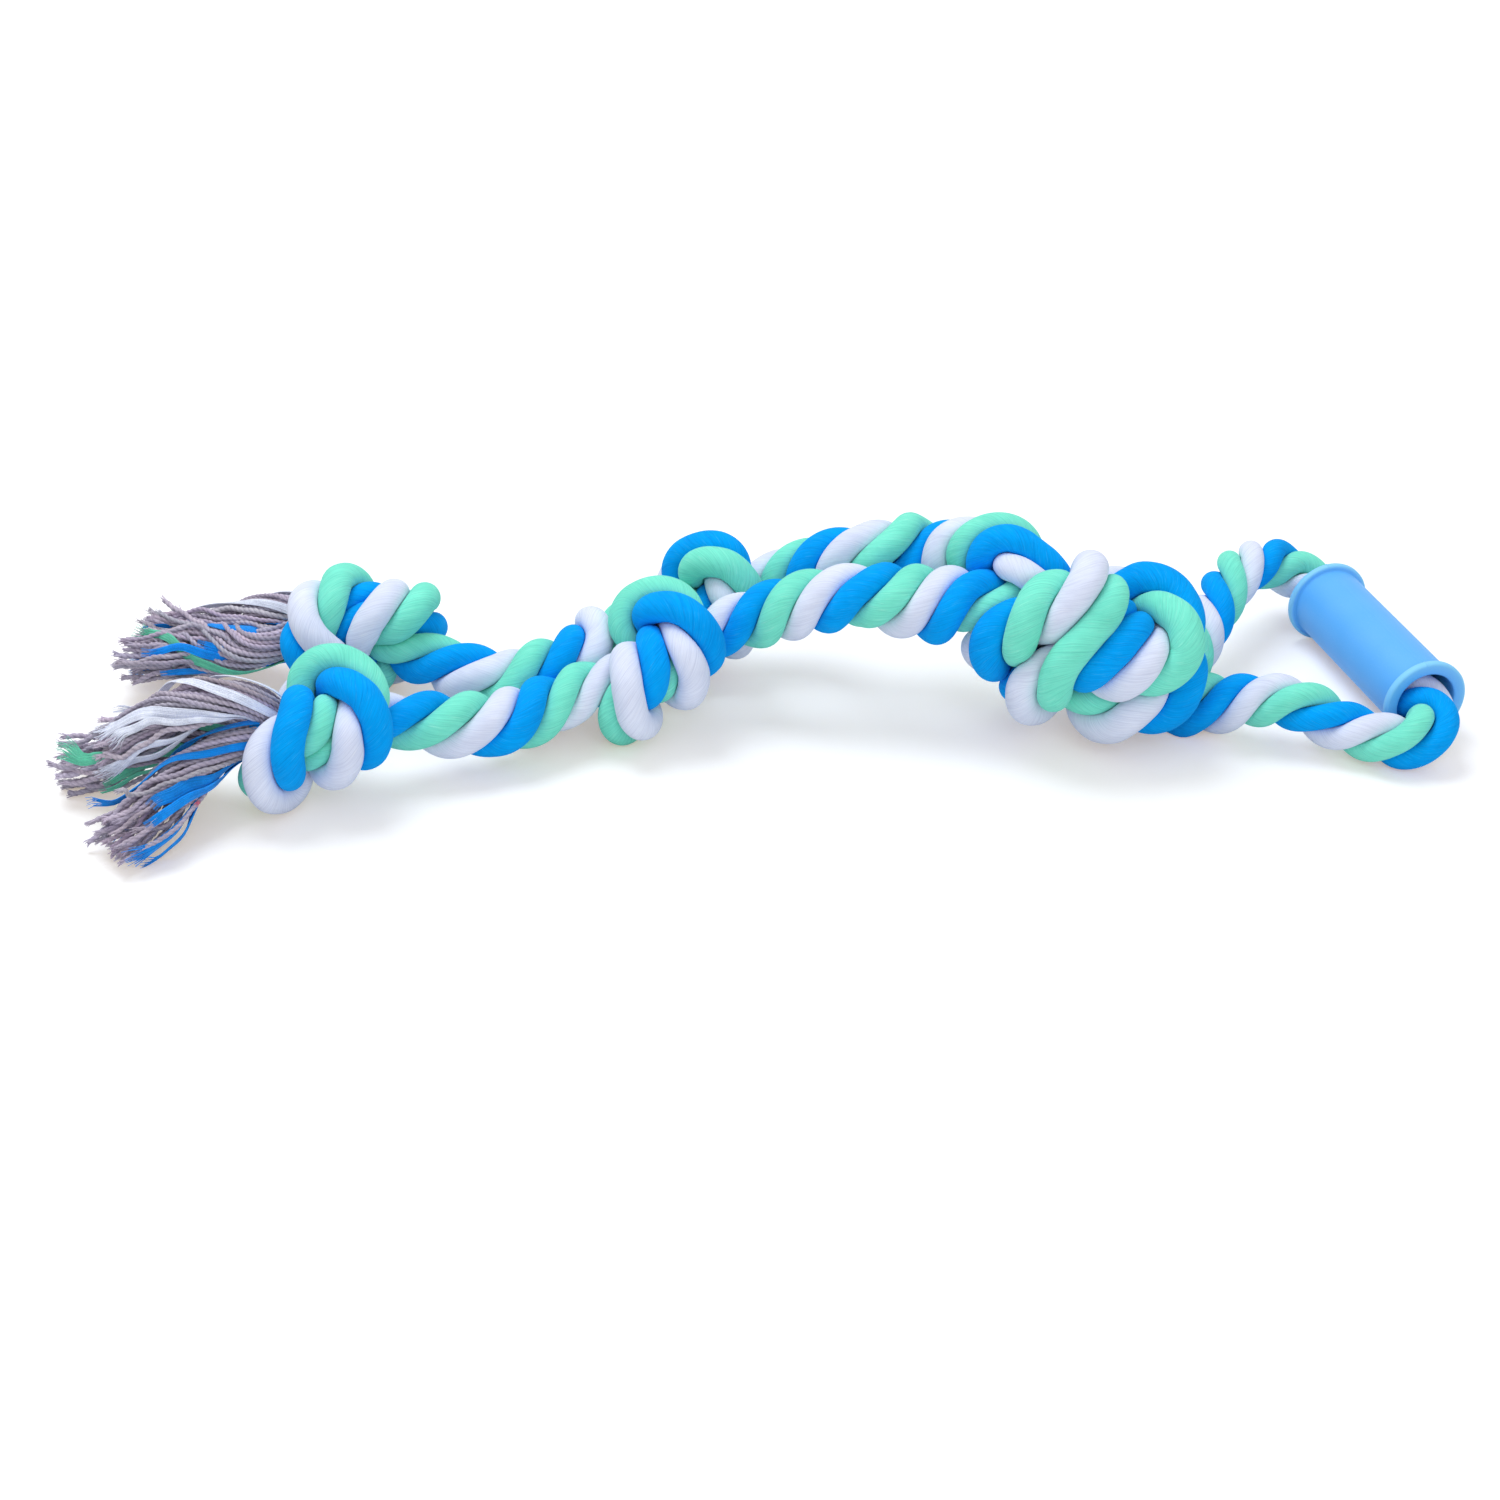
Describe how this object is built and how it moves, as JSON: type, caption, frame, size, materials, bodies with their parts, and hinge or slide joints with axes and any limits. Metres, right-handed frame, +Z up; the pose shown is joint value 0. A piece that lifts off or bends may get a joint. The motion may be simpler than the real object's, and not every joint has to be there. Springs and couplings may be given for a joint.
{
  "type": "rope dog toy",
  "caption": "Knotted cotton rope tug toy for dogs, folded through a moulded grip sleeve, with both legs knotted and frayed into tassels.",
  "frame": {"origin": "on the floor under the middle of the toy's bounding box", "axes": "+X along the toy from the tassels to the grip sleeve, +Y from the front leg to the rear leg, +Z up from the floor that the toy lies on"},
  "size_m": [0.6933, 0.2678, 0.1066],
  "materials": {
    "cotton_blue": "matte twisted cotton",
    "cotton_white": "matte twisted cotton",
    "cotton_mint": "matte twisted cotton",
    "tassel_yarn": "matte loose yarn",
    "grip_sleeve": "satin moulded"
  },
  "bodies": {
    "loop": {"rear_arch_blue": "cotton_blue", "rear_arch_white": "cotton_white", "rear_arch_mint": "cotton_mint", "knot_rear_blue": "cotton_blue", "knot_rear_white": "cotton_white", "knot_rear_mint": "cotton_mint", "near_arm_blue": "cotton_blue", "near_arm_white": "cotton_white", "near_arm_mint": "cotton_mint", "grip_core_blue": "cotton_blue", "grip_core_white": "cotton_white", "grip_core_mint": "cotton_mint", "far_arm_blue": "cotton_blue", "far_arm_white": "cotton_white", "far_arm_mint": "cotton_mint", "knot_front_blue": "cotton_blue", "knot_front_white": "cotton_white", "knot_front_mint": "cotton_mint", "front_arch_blue": "cotton_blue", "front_arch_white": "cotton_white", "front_arch_mint": "cotton_mint"},
    "grip": {"sleeve": "grip_sleeve"},
    "rear_mid": {"rear_mid_blue": "cotton_blue", "rear_mid_white": "cotton_white", "rear_mid_mint": "cotton_mint"},
    "rear_end": {"rear_end_blue": "cotton_blue", "rear_end_white": "cotton_white", "rear_end_mint": "cotton_mint", "rear_tassel_blue": "tassel_yarn", "rear_tassel_white": "tassel_yarn", "rear_tassel_mint": "tassel_yarn"},
    "front_mid": {"front_mid_blue": "cotton_blue", "front_mid_white": "cotton_white", "front_mid_mint": "cotton_mint"},
    "front_end": {"front_end_blue": "cotton_blue", "front_end_white": "cotton_white", "front_end_mint": "cotton_mint", "front_tassel_blue": "tassel_yarn", "front_tassel_white": "tassel_yarn", "front_tassel_mint": "tassel_yarn"}
  },
  "joints": [
    {"name": "sleeve_spin", "type": "hinge", "parent": "loop", "child": "grip", "pos_m": [0.32567, -0.00612, 0.022], "axis": [-0.28, 0.96, 0], "continuous": true},
    {"name": "front_mid_bend", "type": "hinge", "parent": "loop", "child": "front_mid", "pos_m": [0.0433, -0.0007, 0.0712], "axis": [0, 0, 1], "range_deg": [0, 40]},
    {"name": "front_end_bend", "type": "hinge", "parent": "front_mid", "child": "front_end", "pos_m": [-0.1321, -0.0475, 0.0254], "axis": [0, 0, 1], "range_deg": [0, 40]},
    {"name": "rear_mid_bend", "type": "hinge", "parent": "loop", "child": "rear_mid", "pos_m": [0.0512, 0.0691, 0.0736], "axis": [0, 0, -1], "range_deg": [0, 40]},
    {"name": "rear_end_bend", "type": "hinge", "parent": "rear_mid", "child": "rear_end", "pos_m": [-0.1343, 0.0251, 0.024], "axis": [0, 0, -1], "range_deg": [0, 40]}
  ]
}
